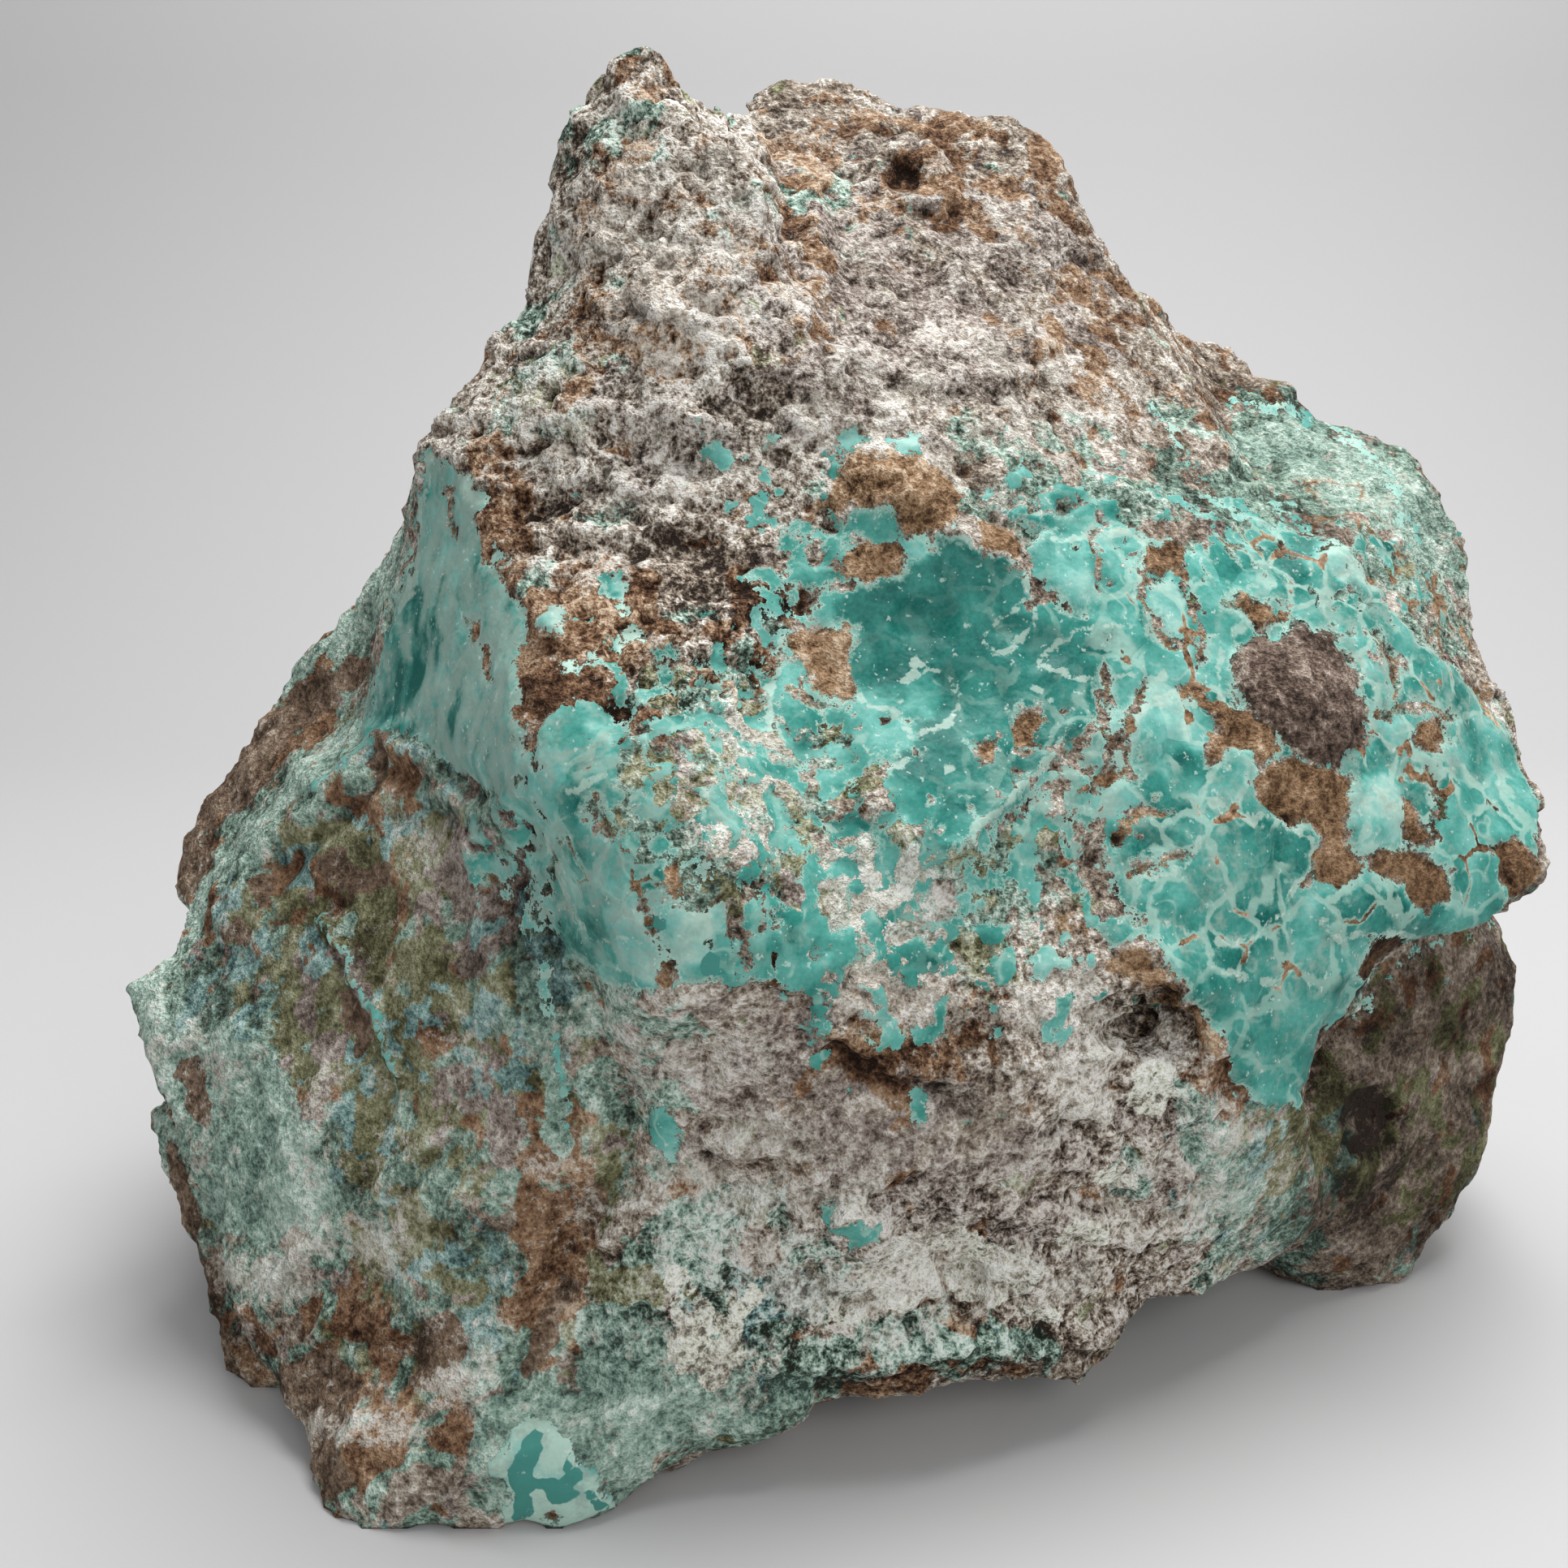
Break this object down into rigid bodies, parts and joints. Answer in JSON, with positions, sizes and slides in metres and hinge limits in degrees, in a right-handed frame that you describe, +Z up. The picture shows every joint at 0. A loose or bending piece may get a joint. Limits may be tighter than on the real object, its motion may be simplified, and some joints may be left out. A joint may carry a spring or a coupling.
{
  "type": "raw turquoise nugget",
  "caption": "Rough lump of grey-brown matrix rock crusted and veined with turquoise: a pointed peak over a leaning slab, a smooth cliff at the left and an overhang at the lower right.",
  "frame": {"origin": "middle of the stone's outer box, on the surface it rests on", "axes": "+Z up; -Y towards the richly coloured front; +X to the right seen from the front"},
  "size_m": [0.1954, 0.1318, 0.1654],
  "materials": {
    "turquoise_rock": "granular dull matrix with smooth, slightly waxy turquoise"
  },
  "bodies": {
    "root": {"turquoise_nugget": "turquoise_rock"}
  },
  "joints": []
}
